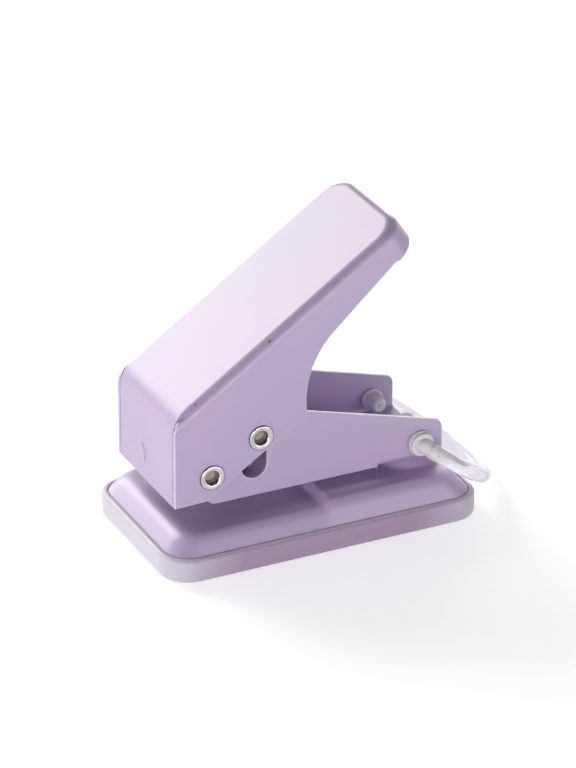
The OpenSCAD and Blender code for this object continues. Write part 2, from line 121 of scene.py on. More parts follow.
# End of a rivet from the middle of its hollow to its shank, as radius and height over the lever's side
RIVET_END = [(1.2, -2.2), (1.62, -2.08), (1.78, -1.8), (1.8, -0.6), (1.8, -0.1), (1.86, 0.16), (2.06, 0.34),
             (2.4, 0.42), (2.9, 0.43), (3.2, 0.36), (3.38, 0.2), (3.37, 0.09), (3.3, 0.05), (2.3, 0.05)]
# Bands of the end that are dull in the hollow, and bands painted dark as shade lines at the hollow's edge and
# round the flange
HOLLOW_STEPS, SHADE_LINE_STEPS, RIVET_SIDES = 3, (3, 4, 9, 10, 11, 12), 64

# Return spring, in millimetres and turns
WIRE_D, END_TURNS, OPEN_TURNS, END_PITCH = 0.8, 0.75, 2.5, 1.3
WIRE_SIDES, STEPS_PER_TURN = 12, 32

# Loop, in millimetres: rod, bend, spread of its legs in degrees, and their start beside the frame
LOOP_R, LOOP_BEND, LOOP_SPREAD, LOOP_LEG_OUT = 2.0, 19.3, 25.0, 2.6
# Grip bands on its legs: place, length, depth of the ends in the rod, rise over them, and the dimples
BAND_START, BAND_LEN, BAND_SUNK, BAND_RISE, DIMPLE_H = 1.4, 3.0, 0.05, 0.09, 0.16
BAND_ROWS, BAND_SIDES, BAND_FADE_ROWS = 25, 72, 3
DIMPLES_ROUND, DIMPLE_ROWS = 12, 6

# Rounding of edges in millimetres, and the angles in degrees over which an edge is rounded
BASE_ROUND, LEVER_ROUND, FRAME_ROUND, LOOP_ROUND = 0.2, 0.22, 0.18, 0.15
METAL_ROUND, WASHER_ROUND, SMALL_RIVET_ROUND = 0.12, 0.1, 0.08
SHEET_TURN, SOLID_TURN, BASE_TURN = 32, 35, 40

# Points this close in millimetres are one, and faces within this angle in degrees are one face
SOLID_WELD, BASE_WELD, CUT_SNAP, FLAT_TURN = 0.002, 0.004, 0.001, 0.6
# Steps of a rounded outline along its corners, long sides and short sides, and of a moulded edge
CORNER_STEPS, LONG_STEPS, SHORT_STEPS, MOULDED_STEPS = 9, 84, 36, 4


def srgb(r, g, b):
    """Linear colour of an 8-bit display colour."""
    def lin(c):
        c /= 255.0
        return c / 12.92 if c <= 0.04045 else ((c + 0.055) / 1.055) ** 2.4
    return (lin(r), lin(g), lin(b), 1.0)


class Nodes:
    """A node tree under construction: adds nodes and links them by socket name."""

    def __init__(self, tree):
        self.tree = tree

    def plug(self, pin, value):
        if isinstance(value, bpy.types.NodeSocket):
            self.tree.links.new(value, pin)
        else:
            pin.default_value = value

    def add(self, kind, inputs=None, **props):
        node = self.tree.nodes.new("ShaderNode" + kind)
        for key, value in props.items():
            setattr(node, key, value)
        for key, value in (inputs or {}).items():
            self.plug(node.inputs[key], value)
        return node

    def coords(self):
        return self.add("TexCoord").outputs["Object"]

    def noise(self, vector, scale, detail=3.0, rough=0.55):
        return self.add("TexNoise", {"Vector": vector, "Scale": scale, "Detail": detail,
                                     "Roughness": rough}).outputs["Fac"]

    def span(self, value, lo, hi, to_lo=0.0, to_hi=1.0, **props):
        return self.add("MapRange", {"Value": value, "From Min": lo, "From Max": hi, "To Min": to_lo,
                                     "To Max": to_hi}, clamp=True, **props).outputs["Result"]

    def math(self, operation, a, b):
        return self.add("Math", {0: a, 1: b}, operation=operation).outputs[0]

    def distance(self, a, b):
        return self.add("VectorMath", {0: a, 1: b}, operation="DISTANCE").outputs["Value"]

    def mix(self, fac, a, b):
        node = self.add("Mix", data_type="RGBA")
        for socket, value in (("Factor", fac), ("A", a), ("B", b)):
            self.plug(next(pin for pin in node.inputs if pin.name == socket and pin.enabled), value)
        return next(pin for pin in node.outputs if pin.enabled)

    def bump(self, height, strength, distance):
        return self.add("Bump", {"Height": height, "Strength": strength,
                                 "Distance": distance}).outputs["Normal"]


class Shader(Nodes):
    """A material under construction, around its principled shader."""

    def __init__(self, name):
        self.mat = bpy.data.materials.new(name)
        self.mat.use_nodes = True
        super().__init__(self.mat.node_tree)
        self.bsdf = self.tree.nodes["Principled BSDF"]
        self.out = self.tree.nodes["Material Output"]

    def set(self, **values):
        for key, value in values.items():
            self.plug(self.bsdf.inputs[key.replace("_", " ")], value)


# Range that holds most values of a noise texture
NOISE_RANGE = (0.3, 0.7)

# Lacquer: its colours, a pale edge colour that is a painted highlight along sheet edges, and the dark primer in
# its chips and specks
LILAC = srgb(200, 181, 220)
LILAC_WARM = srgb(203, 182, 219)
LILAC_EDGE_HIGHLIGHT = srgb(238, 231, 244)
PRIMER = srgb(92, 80, 98)
# Scales per metre of its drift of tone, dust, bare spots on edges, haze, orange peel and ragged chips
DRIFT_SCALE, DUST_SCALE, SPOT_SCALE, HAZE_SCALE, PEEL_SCALE, RAGGED_SCALE = 28, 150, 900, 420, 1500, 2600
DRIFT_RANGE, DUST_SIZE, DUST_RARE, SPOT_RANGE = (0.35, 0.65), (0.026, 0.016), (0.9, 0.92), (0.74, 0.77)
DUST_STRENGTH, BARE_ROUGH, PAINT_ROUGH = 0.55, 0.3, (0.395, 0.415)
# Chips: radius in millimetres, share of it that is bare, how far it wanders, and where they are
CHIP_R, CHIP_CORE, CHIP_RAGGED = 0.45, 0.7, (0.5, 1.8)
LEVER_CHIPS = [(-13.4, -16.5, 58.3), (-33.5, -16.2, 45.2), (-39.0, -16.5, 39.5)]
BASE_CHIPS = [(-40.8, 9.5, 8.85)]


def chipped(s, at, places):
    """1 within a ragged radius of any of the places, else 0."""
    ragged = s.noise(at, RAGGED_SCALE, detail=2)
    found = 0.0
    for place in places:
        away = s.distance(at, Vector(place) * MM)
        away = s.math("MULTIPLY", away, s.span(ragged, *NOISE_RANGE, *CHIP_RAGGED))
        found = s.math("MAXIMUM", s.span(away, CHIP_R * MM, CHIP_R * MM * CHIP_CORE), found)
    return found


def lilac_paint(name, chips=(), edge=False):
    """Satin lacquer on sheet steel: faint drift of tone, orange peel, dust specks and chips at given places.

    On the edge of a sheet it is pale all over, a painted highlight, with bare spots of real wear.
    """
    s = Shader(name)
    at = s.coords()
    if edge:
        tone = LILAC_EDGE_HIGHLIGHT
    else:
        tone = s.mix(s.span(s.noise(at, DRIFT_SCALE, detail=2), *DRIFT_RANGE), LILAC, LILAC_WARM)
    dust = s.add("TexVoronoi", {"Vector": at, "Scale": DUST_SCALE}, feature="F1")
    rare = s.add("SeparateColor", {"Color": dust.outputs["Color"]}).outputs[0]
    speck = s.math("MULTIPLY", s.span(dust.outputs["Distance"], *DUST_SIZE), s.span(rare, *DUST_RARE))
    bare = s.math("MULTIPLY", speck, DUST_STRENGTH)
    if edge:
        bare = s.math("MAXIMUM", bare, s.span(s.noise(at, SPOT_SCALE, detail=4, rough=0.65), *SPOT_RANGE))
    if chips:
        bare = s.math("MAXIMUM", bare, chipped(s, at, chips))
    haze = s.span(s.noise(at, HAZE_SCALE, detail=4, rough=0.6), *NOISE_RANGE, *PAINT_ROUGH)
    relief = s.math("SUBTRACT", s.noise(at, PEEL_SCALE, detail=2, rough=0.5), bare)
    s.set(Base_Color=s.mix(bare, tone, PRIMER),
          Roughness=s.math("ADD", haze, s.math("MULTIPLY", bare, BARE_ROUGH)),
          Normal=s.bump(relief, strength=0.03, distance=0.0002),
          Coat_Weight=0.2, Coat_Roughness=0.3, Specular_IOR_Level=0.95)
    return s.mat


# Metal: scales per metre of its grain and its dull patches, shade of a patch, and spread of its roughness
GRAIN_SCALE, PATCH_SCALE, PATCH_RANGE, PATCH_SHADE = 900, 150, (0.4, 0.7), 0.8
SMOOTHER, ROUGHER = 0.05, 0.09


def metal(name, colour, rough, metallic=1.0):
    """Metal with a fine grain and darker patches."""
    s = Shader(name)
    at = s.coords()
    grain = s.noise(at, GRAIN_SCALE, detail=4, rough=0.6)
    patch = s.span(s.noise(at, PATCH_SCALE, detail=3, rough=0.6), *PATCH_RANGE)
    darker = tuple(c * PATCH_SHADE for c in colour[:3]) + (1.0,)
    s.set(Base_Color=s.mix(patch, colour, darker),
          Roughness=s.span(grain, *NOISE_RANGE, rough - SMOOTHER, rough + ROUGHER),
          Normal=s.bump(grain, strength=0.06, distance=0.0001),
          Metallic=metallic)
    return s.mat


# Plastics: scales per metre of their clouding, grain and ripple, and their roughness
FROST_CLOUD, FROST_GRAIN, CLEAR_CLOUD, CLEAR_RIPPLE = 70, 2200, 120, 600
FROST_ROUGH, CLEAR_ROUGH = (0.3, 0.38), (0.08, 0.15)
# Tray: from the darker tint of its middle, which is painted shade, to its milky ends, by distance along it in
# millimetres
TRAY_SHADE_TINT, TRAY_SHADE_TINT_X, TRAY_MILKY_X = srgb(194, 172, 202), 24.0, 52.0
# Loop: from its milky plugs to its clear legs, by distance from the swing's axis in millimetres
PLUG_R, LEG_R, PLUG_CLEARNESS, LEG_CLEARNESS = 3.0, 8.0, 0.02, 0.75


def frosted_plastic():
    """Frosted plastic of the tray: a darker tint in its middle as painted shade, milky at its ends and along its
    lip, the lip's band a painted highlight.
    """
    s = Shader("frosted_plastic")
    at = s.coords()
    cloud = s.noise(at, FROST_CLOUD)
    place = s.add("SeparateXYZ", {0: at}).outputs
    end = s.span(s.math("ABSOLUTE", place["X"], 0.0), TRAY_SHADE_TINT_X * MM, TRAY_MILKY_X * MM)
    lip = s.span(place["Z"], TRAY_LIP_Z * MM, (TRAY_LIP_Z + TRAY_LIP_FADE) * MM)
    milky = s.mix(s.span(cloud, *NOISE_RANGE), srgb(248, 244, 255), srgb(251, 248, 255))
    # The darker middle tint is painted shade; the milky band of the lip is a painted highlight
    s.set(Base_Color=s.mix(s.math("MAXIMUM", end, lip), TRAY_SHADE_TINT, milky),
          Roughness=s.span(cloud, *NOISE_RANGE, *FROST_ROUGH),
          Normal=s.bump(s.noise(at, FROST_GRAIN), strength=0.08, distance=0.0001),
          Transmission_Weight=0.08, IOR=1.46, Specular_IOR_Level=0.5,
          Subsurface_Weight=0.3, Subsurface_Scale=0.001, Subsurface_Radius=(1.0, 1.0, 1.0))
    return s.mat


def clear_plastic():
    """Clear plastic of the loop, milky in its thick plugs."""
    s = Shader("clear_plastic")
    at = s.coords()
    cloud = s.noise(at, CLEAR_CLOUD)
    axis = Vector(JOINT["loop_swing"]["pos_m"])
    across = s.add("VectorMath", {0: at, 1: (1.0, 0.0, 1.0)}, operation="MULTIPLY").outputs["Vector"]
    away = s.distance(across, (axis.x, 0.0, axis.z))
    clearness = s.span(away, PLUG_R * MM, LEG_R * MM, PLUG_CLEARNESS, LEG_CLEARNESS)
    s.set(Base_Color=s.mix(s.span(cloud, *NOISE_RANGE), srgb(250, 247, 255), srgb(254, 252, 255)),
          Roughness=s.span(cloud, *NOISE_RANGE, *CLEAR_ROUGH),
          Normal=s.bump(s.noise(at, CLEAR_RIPPLE, detail=2), strength=0.05, distance=0.0002),
          Transmission_Weight=clearness, IOR=1.4,
          Subsurface_Weight=0.15, Subsurface_Scale=0.001, Subsurface_Radius=(1.0, 1.0, 1.0))
    return s.mat


paint = lilac_paint("lilac_satin_paint")
base_paint = lilac_paint("base_satin_paint", BASE_CHIPS)
lever_paint = lilac_paint("lever_satin_paint", LEVER_CHIPS)
# Pale edge paint: a painted highlight along sheet edges and arrow walls, with real bare spots
edge_highlight_paint = lilac_paint("lilac_edge_painted_highlight", edge=True)
nickel = metal("bright_nickel", srgb(214, 211, 214), rough=0.17)
bore = metal("dull_rivet_bore", srgb(196, 182, 178), rough=0.42, metallic=0.4)
# Dark metal for the rivets' outlines: painted shade in the crevices round the flange and at the hollow's edge
rivet_shade_line = metal("painted_rivet_shade", srgb(92, 84, 90), rough=0.45, metallic=0.5)
steel = metal("ground_steel", srgb(176, 176, 178), rough=0.3)
wire = metal("drawn_wire", srgb(160, 160, 163), rough=0.26)
frost = frosted_plastic()
clear = clear_plastic()


def stand_for(name, mesh, materials, *nodes):
    """A finished mesh as the piece that stands for these nodes, on their body and in their finish."""
    for mat in materials:
        mesh.materials.append(mat)
    obj = bpy.data.objects.new(name, mesh)
    bpy.context.collection.objects.link(obj)
    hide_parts(*nodes)
    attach(obj, BODY_OF[nodes[0]])
    return obj


def to_mesh(bm, name, sharp=None):
    """Smooth-shaded mesh of a bmesh; edges over the angle in degrees stay sharp."""
    for face in bm.faces:
        face.smooth = True
    for edge in bm.edges:
        edge.smooth = True
    mesh = bpy.data.meshes.new(name)
    bm.to_mesh(mesh)
    bm.free()
    extra = mesh.attributes.get("custom_normal")
    if extra:
        mesh.attributes.remove(extra)
    if sharp:
        mesh.set_sharp_from_angle(angle=math.radians(sharp))
    return mesh


def solid_of(node):
    """The node's solid with its triangles joined into whole faces."""
    bm = bmesh.new()
    bm.from_mesh(frame["nodes"][node].data)
    bmesh.ops.remove_doubles(bm, verts=bm.verts[:], dist=SOLID_WELD * MM)
    flat = math.radians(FLAT_TURN)
    bmesh.ops.dissolve_limit(bm, angle_limit=flat, verts=bm.verts[:], edges=bm.edges[:])
    return bm


def mark_edges(bm, share):
    """Notes on each edge over a sheet's angle the share of the full width to which it is rounded."""
    weight = bm.edges.layers.float.new("bevel_weight_edge")
    for edge in bm.edges:
        if edge.is_manifold and edge.calc_face_angle() > math.radians(SHEET_TURN):
            edge[weight] = share((edge.verts[0].co + edge.verts[1].co) / 2 / MM)


def break_edges(obj, width, turn, segments=2, slot=None, marked=False):
    """Rounds the marked edges, or all over an angle, with the new faces in a slot if one is given."""
    cut = obj.modifiers.new("broken_edges", "BEVEL")
    cut.width = width * MM
    cut.segments = segments
    cut.limit_method = "WEIGHT" if marked else "ANGLE"
    cut.angle_limit = math.radians(turn)
    cut.use_clamp_overlap = False
    if slot is not None:
        cut.material = slot
    even = obj.modifiers.new("even_shading", "WEIGHTED_NORMAL")
    even.mode = "FACE_AREA"
    even.keep_sharp = True


def ease(t):
    """Smooth step from 0 to 1, level before and after."""
    t = min(1.0, max(0.0, t))
    return t * t * (3 - 2 * t)


def spread(lo, hi, step):
    """Even places from lo to hi, about a step apart."""
    n = max(1, round((hi - lo) / step))
    return [lo + (hi - lo) * i / n for i in range(n + 1)]


def stations(stops, steps):
    """Places from the first stop to the last, with a step of its own for each stretch between stops."""
    return [place for lo, hi, step in zip(stops, stops[1:], steps) for place in spread(lo, hi, step)]


def circle(count):
    """Angles of a full turn in even steps."""
    return [2 * math.pi * k / count for k in range(count)]


def quarter(start, steps):
    """Angles of a quarter turn in even steps, from a start in degrees."""
    return [math.radians(start + 90 * k / steps) for k in range(steps + 1)]


def rounded_ring(x0, x1, half_w, r, z):
    """Points of a rectangle with round corners, counter-clockwise from the start of its corner at +X, +Y."""
    corners = ((x1 - r, half_w - r, 0), (x0 + r, half_w - r, 90),
               (x0 + r, r - half_w, 180), (x1 - r, r - half_w, 270))
    points = []
    for i, (cx, cy, start) in enumerate(corners):
        for a in quarter(start, CORNER_STEPS):
            points.append(Vector((cx + r * math.cos(a), cy + r * math.sin(a), z)))
        next_x, next_y, next_start = corners[(i + 1) % 4]
        a = math.radians(next_start)
        goal = Vector((next_x + r * math.cos(a), next_y + r * math.sin(a), z))
        steps = SHORT_STEPS if i % 2 else LONG_STEPS
        last = points[-1]
        points += [last.lerp(goal, k / steps) for k in range(1, steps)]
    return points


def loft(bm, rings):
    """Quads between rings of equal count; returns the rings' vertices and the faces of each step."""
    rows = [[bm.verts.new(p * MM) for p in ring] for ring in rings]
    bands = []
    for lower, upper in zip(rows, rows[1:]):
        band = []
        for i in range(len(lower)):
            j = (i + 1) % len(lower)
            band.append(bm.faces.new((lower[i], lower[j], upper[j], upper[i])))
        bands.append(band)
    return rows, bands


def bed_height(x):
    """Height of the beds and the ramp at a place along the base."""
    return BED_Z + (REAR_Z - BED_Z) * ease((x - RAMP_X) / RAMP_RUN)


def crown(share):
    """Height of the crowned slope at a share of its run, from 0 at the skirt to 1 at the bed."""
    if share < CREST_SHARE:
        return CREST_RISE * share / CREST_SHARE
    return 1 - CREST_DROP * (1 - math.sqrt(1 - (CREST_SINE * (1 - share)) ** 2))


def with_pad(x, y, z):
    """A height of the base, raised where the pad under the frame and its slopes are."""
    beyond = math.hypot(max(PAD_X0 + PAD_R - x, 0), max(abs(y) - PAD_HALF_W + PAD_R, 0)) - PAD_R
    rise = min(1 - beyond / PAD_SLOPE, (PAD_X1 + PAD_BACK_SLOPE - x) / PAD_BACK_SLOPE)
    return z + (PAD_Z - z) * ease(rise)


def base_ring(share, z=None):
    """Outline of the base at a share of its slopes' run, at a given height or else at the slopes' own."""
    points = rounded_ring(SLOPE_X * share - BASE_HALF_L, BASE_HALF_L - REAR_SLOPE * share,
                          BASE_HALF_W - SLOPE_Y * share, PLATE_R - PLATE_R_LOSS * SLOPE_Y * share, 0)
    for p in points:
        slope_z = SKIRT_TOP_Z + (bed_height(p.x) - SKIRT_TOP_Z) * crown(share)
        p.z = with_pad(p.x, p.y, slope_z) if z is None else z
    return points


def fill_beds(bm, rim):
    """Beds, ramp and pad inside the slopes' rim, with the holes of the punch and the die rivets."""
    punch_x = middle_mm("punch").x
    holes = [(punch_x, PUNCH_HOLE_R)] + [(punch_x + s * DIE_RIVET_DX, DIE_RIVET_R) for s in (-1, 1)]
    x0, x1, y1 = min(p.x for p in rim), max(p.x for p in rim), max(p.y for p in rim)
    r = PLATE_R - PLATE_R_LOSS * SLOPE_Y

    def inside(x, y, gap):
        dx = max(x0 + r - x, x - x1 + r, 0)
        dy = max(abs(y) - y1 + r, 0)
        return math.hypot(dx, dy) < r - gap and all(math.hypot(x - hx, y) > hr + gap for hx, hr in holes)

    points = [Vector((p.x, p.y)) for p in rim]
    edges = [(i, (i + 1) % len(rim)) for i in range(len(rim))]
    for hx, hr in holes:
        first = len(points)
        points += [Vector((hx + hr * math.cos(a), hr * math.sin(a))) for a in circle(HOLE_SIDES)]
        edges += [(first + k, first + (k + 1) % HOLE_SIDES) for k in range(HOLE_SIDES)]

    ramp_end = RAMP_X + RAMP_RUN + RAMP_MARGIN
    xs = stations([x0, RAMP_X - RAMP_MARGIN, ramp_end, PAD_X0 - PAD_SLOPE, PAD_X0 + PAD_R, x1],
                  [COARSE_STEP, RAMP_STEP, COARSE_STEP, PAD_STEP, REAR_STEP])
    half_ys = stations([0, PAD_HALF_W - PAD_R, PAD_HALF_W + PAD_SLOPE, y1],
                       [COARSE_STEP, PAD_STEP, COARSE_STEP])
    ys = sorted(set(half_ys + [-y for y in half_ys]))
    points += [Vector((x, y)) for x in sorted(set(xs)) for y in ys if inside(x, y, GRID_GAP)]

    flat, _, faces, *_ = delaunay_2d_cdt(points, edges, [], HULL_TRIANGLES, SAME_POINT)
    verts = [bm.verts.new(Vector((p.x, p.y, with_pad(p.x, p.y, bed_height(p.x)))) * MM) for p in flat]
    for face in faces:
        middle = sum((flat[i] for i in face), Vector((0, 0))) / len(face)
        if inside(middle.x, middle.y, -RIM_SLACK):
            bm.faces.new([verts[i] for i in face])


def pressed_base():
    """Base plate as one pressed sheet: skirt, crowned slopes, two beds with a ramp, and the frame's pad."""
    pad_back = spread(PAD_X1 - PAD_BACK_STEP, PAD_X1 + PAD_BACK_SLOPE + PAD_BACK_STEP, PAD_BACK_STEP)
    shares = [k / SLOPE_ROWS for k in range(1, SLOPE_ROWS + 1)]
    shares += [(BASE_HALF_L - x) / REAR_SLOPE for x in pad_back]
    rings = [base_ring(0, z) for z in spread(BASE_FOOT_Z, SKIRT_TOP_Z, SKIRT_STEP)]
    rings += [base_ring(share) for share in sorted(shares)]
    bm = bmesh.new()
    loft(bm, rings)
    fill_beds(bm, rings[-1])
    bmesh.ops.remove_doubles(bm, verts=bm.verts[:], dist=BASE_WELD * MM)
    bmesh.ops.delete(bm, geom=[v for v in bm.verts if not v.link_faces], context="VERTS")
    obj = stand_for("pressed_base", to_mesh(bm, "pressed_base"), [base_paint, edge_highlight_paint], "base_plate")
    sheet = obj.modifiers.new("sheet", "SOLIDIFY")
    sheet.thickness = PLATE_T * MM
    sheet.offset = -1
    sheet.use_even_offset = True
    break_edges(obj, BASE_ROUND, BASE_TURN, slot=1)


def tray():
    """Chip tray moulded as one shell with a rounded lip and foot and a seat along its rim."""
    half_l, half_w, top = box_mm("chip_tray")[1]
    seat = half_l - BASE_HALF_L - TRAY_SEAT_GAP

    def ring(inset, z):
        return rounded_ring(inset - half_l, half_l - inset, half_w - inset, TRAY_R - inset, z)

    def corner(inset, z, r, start):
        return [ring(inset - r * math.cos(a), z + r * math.sin(a)) for a in quarter(start, MOULDED_STEPS)]

    rings = corner(TRAY_FOOT_R, TRAY_FOOT_R, TRAY_FOOT_R, -90)
    rings += corner(TRAY_OUTER_LIP_R, top - TRAY_OUTER_LIP_R, TRAY_OUTER_LIP_R, 0)
    rings += corner(seat - TRAY_INNER_LIP_R, top - TRAY_INNER_LIP_R, TRAY_INNER_LIP_R, 90)
    rings += [ring(seat, top - TRAY_SEAT_H), ring(TRAY_WALL, top - TRAY_SEAT_H - TRAY_SEAT_RUN)]
    for a in quarter(0, MOULDED_STEPS):
        inset = TRAY_WALL + TRAY_FILLET_R * (1 - math.cos(a))
        rings.append(ring(inset, TRAY_FLOOR + TRAY_FILLET_R * (1 - math.sin(a))))
    bm = bmesh.new()
    rows, _ = loft(bm, rings)
    bm.faces.new(rows[0][::-1])
    bm.faces.new(rows[-1])
    bmesh.ops.recalc_face_normals(bm, faces=bm.faces[:])
    stand_for("frosted_tray", to_mesh(bm, "frosted_tray", sharp=40), [frost], "chip_tray")


def lever():
    """Lever shell with the arrow of its flap pressed in.

    It is cut across at intervals, so that rounding an edge at a seam doesn't pull on the long bends.
    """
    lo, hi = box_mm("handle")
    pivot = middle_mm("pivot_rivet")
    flap_x, inner_y = lo.x + ARROW_RAISED, hi.y - LEVER_T
    tilt = math.radians(LEVER_TILT)
    along = Vector((math.cos(tilt), 0, math.sin(tilt)))
    bm = solid_of("handle")
    for v in bm.verts:
        if v.co.x < (flap_x - ARROW_RAISED / 2) * MM:
            v.co.x = (flap_x + ARROW_DEPTH) * MM
    for reach in LEVER_NEAR_CUTS + spread(LEVER_CUT_FROM, LEVER_CUT_TO, LEVER_CUT_STEP):
        bmesh.ops.bisect_plane(bm, geom=bm.verts[:] + bm.edges[:] + bm.faces[:], dist=CUT_SNAP * MM,
                               plane_co=(pivot + reach * along) * MM, plane_no=along)

    def at_arrow(p):
        beside = abs(p.y - ARROW_Y)
        return p.x < flap_x + ARROW_ZONE_X and beside < ARROW_HALF_W and p.z > pivot.z - ARROW_UNDER_PIVOT

    def at_seam(p):
        return p.x < flap_x + SEAM_ZONE_X and abs(abs(p.y) - inner_y) < SEAM_ZONE_Y

    def share(p):
        if at_arrow(p):
            return ARROW_SHARE
        return SEAM_SHARE if at_seam(p) else 1.0

    bm.normal_update()
    # Front-facing walls of the arrow take the pale edge paint, a painted highlight
    for face in bm.faces:
        if at_arrow(face.calc_center_median() / MM) and face.normal.y < HIGHLIGHT_WALL_Y:
            face.material_index = 1
    mark_edges(bm, share)
    obj = stand_for("lever_shell", to_mesh(bm, "lever_shell"), [lever_paint, edge_highlight_paint], "handle")
    break_edges(obj, LEVER_ROUND, SHEET_TURN, segments=3, slot=1, marked=True)


def cheeks():
    """Frame with its two side walls and the web between them."""
    obj = stand_for("frame_cheeks", to_mesh(solid_of("frame"), "frame_cheeks"), [paint, edge_highlight_paint], "frame")
    break_edges(obj, FRAME_ROUND, SHEET_TURN, slot=1)


def tubular_rivet(name, node):
    """Rivet turned as one piece: bright rolled flanges on the lever's sides, dull hollow ends, and dark painted
    shade lines at the hollow's edge and round the flange.
    """
    middle = middle_mm(node)
    side = box_mm("handle")[1].y
    far_end = [(r, side + h) for r, h in RIVET_END]
    profile = far_end + [(r, -y) for r, y in reversed(far_end)]
    rings = [[middle + Vector((r * math.cos(a), y, r * math.sin(a))) for a in circle(RIVET_SIDES)]
             for r, y in profile]
    bm = bmesh.new()
    rows, bands = loft(bm, rings)
    for end in (rows[0], rows[-1]):
        bm.faces.new(end).material_index = 1
    for i, band in enumerate(bands):
        step = min(i, len(bands) - 1 - i)
        for face in band:
            if step < HOLLOW_STEPS:
                face.material_index = 1
            # Bands at the hollow's edge and round the flange get painted shade
            elif step in SHADE_LINE_STEPS:
                face.material_index = 2
    bmesh.ops.recalc_face_normals(bm, faces=bm.faces[:])
    stand_for(name, to_mesh(bm, name, sharp=45), [nickel, bore, rivet_shade_line], node)


def turned(name, node, mat, width=METAL_ROUND):
    """A plain metal piece with its edges broken."""
    obj = stand_for(name, to_mesh(solid_of(node), name), [mat], node)
    break_edges(obj, width, SOLID_TURN)


def coil_spring():
    """Return spring wound as one round wire."""
    lo, hi = box_mm("return_spring")
    cx = (lo.x + hi.x) / 2
    radius = (hi.y - lo.y) / 2 - WIRE_D / 2
    z0, z1 = lo.z + WIRE_D / 2, hi.z - WIRE_D / 2
    turns = OPEN_TURNS + 2 * END_TURNS
    pitch = (z1 - z0 - 2 * END_TURNS * END_PITCH) / OPEN_TURNS

    def rise(t):
        if t < END_TURNS:
            return z0 + t * END_PITCH
        if t > turns - END_TURNS:
            return z1 - (turns - t) * END_PITCH
        return z0 + END_TURNS * END_PITCH + (t - END_TURNS) * pitch

    rings = []
    for i in range(int(turns * STEPS_PER_TURN) + 1):
        t = i / STEPS_PER_TURN
        a = 2 * math.pi * t
        out = Vector((math.cos(a), math.sin(a), 0))
        middle = Vector((cx, 0, rise(t))) + radius * out
        rings.append([middle + WIRE_D / 2 * (math.cos(b) * out + Vector((0, 0, math.sin(b))))
                      for b in circle(WIRE_SIDES)])
    bm = bmesh.new()
    rows, _ = loft(bm, rings)
    bm.faces.new(rows[0][::-1])
    bm.faces.new(rows[-1])
    bmesh.ops.recalc_face_normals(bm, faces=bm.faces[:])
    obj = stand_for("coil_spring", to_mesh(bm, "coil_spring", sharp=40), [wire], "return_spring")
    stroke = JOINT["punch_stroke"]["range_m"]
    travel = (max(stroke) - min(stroke)) / MM
    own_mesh(obj)


def clear_loop():
    """Loop moulded as one piece with its plugs."""
    obj = stand_for("clear_loop", to_mesh(solid_of("bail"), "clear_loop"), [clear], "bail")
    break_edges(obj, LOOP_ROUND, SOLID_TURN)


def grip_bands():
    """Dimpled grip band on each leg of the loop, next to its plug."""
    hole = Vector(JOINT["loop_swing"]["pos_m"]) / MM
    leg_y = box_mm("frame")[1].y + LOOP_LEG_OUT
    turn = math.radians(LOOP_SPREAD)
    length = (LOOP_BEND * math.cos(turn) - leg_y) / math.tan(turn) + LOOP_BEND * math.sin(turn) + LOOP_BEND
    tilt = math.asin((hole.z - LOOP_R) / length)

    def radius(row, a):
        fade = min(1.0, row / BAND_FADE_ROWS, (BAND_ROWS - 1 - row) / BAND_FADE_ROWS)
        dimple = 0.5 + 0.5 * math.sin(DIMPLES_ROUND * a) * math.sin(2 * math.pi * row / DIMPLE_ROWS)
        return LOOP_R - BAND_SUNK + fade * (BAND_RISE + DIMPLE_H * dimple)

    bm = bmesh.new()
    for s in (-1, 1):
        leg = Vector((math.cos(turn) * math.cos(tilt), s * math.sin(turn), -math.cos(turn) * math.sin(tilt)))
        out = leg.cross(Vector((0, 0, 1))).normalized()
        up = out.cross(leg)
        start = hole + Vector((0, s * leg_y, 0))
        rings = []
        for row in range(BAND_ROWS):
            middle = start + (BAND_START + BAND_LEN * row / (BAND_ROWS - 1)) * leg
            rings.append([middle + radius(row, a) * (math.cos(a) * out + math.sin(a) * up)
                          for a in circle(BAND_SIDES)])
        rows, _ = loft(bm, rings)
        bm.faces.new(rows[0])
        bm.faces.new(rows[-1])
    bmesh.ops.recalc_face_normals(bm, faces=bm.faces[:])
    stand_for("loop_grip_bands", to_mesh(bm, "loop_grip_bands", sharp=50), [clear], "bail")


pressed_base()
tray()
lever()
cheeks()
tubular_rivet("upper_rivet", "drive_rivet")
tubular_rivet("lower_rivet", "pivot_rivet")
coil_spring()
clear_loop()
grip_bands()
turned("die_block", "die_plate", steel)
turned("die_fixings", "die_rivets", nickel, SMALL_RIVET_ROUND)
turned("frame_fixings", "base_rivets", nickel)
turned("punch_bush", "guide_bush", nickel)
turned("cutting_punch", "punch", steel)
turned("spring_seat", "spring_cap", nickel)
turned("upper_washers", "drive_washers", nickel, WASHER_ROUND)
turned("lower_washers", "pivot_washers", nickel, WASHER_ROUND)

# Camera of the photograph: angles in degrees, distances in metres, focal length and frame in pixels
AZIMUTH, ELEVATION, ROLL = -26.039, 26.78, 0.242
DISTANCE, NEAR_CLIP, FOCAL_PX = 1.093901, 0.05, 4330.957
PHOTO_W, PHOTO_H = 576, 768
# Height of its sensor, and the point that it and the lamps face, in millimetres
SENSOR_H = 24.0
TARGET = Vector((-0.196, 0, 36.195)) * MM


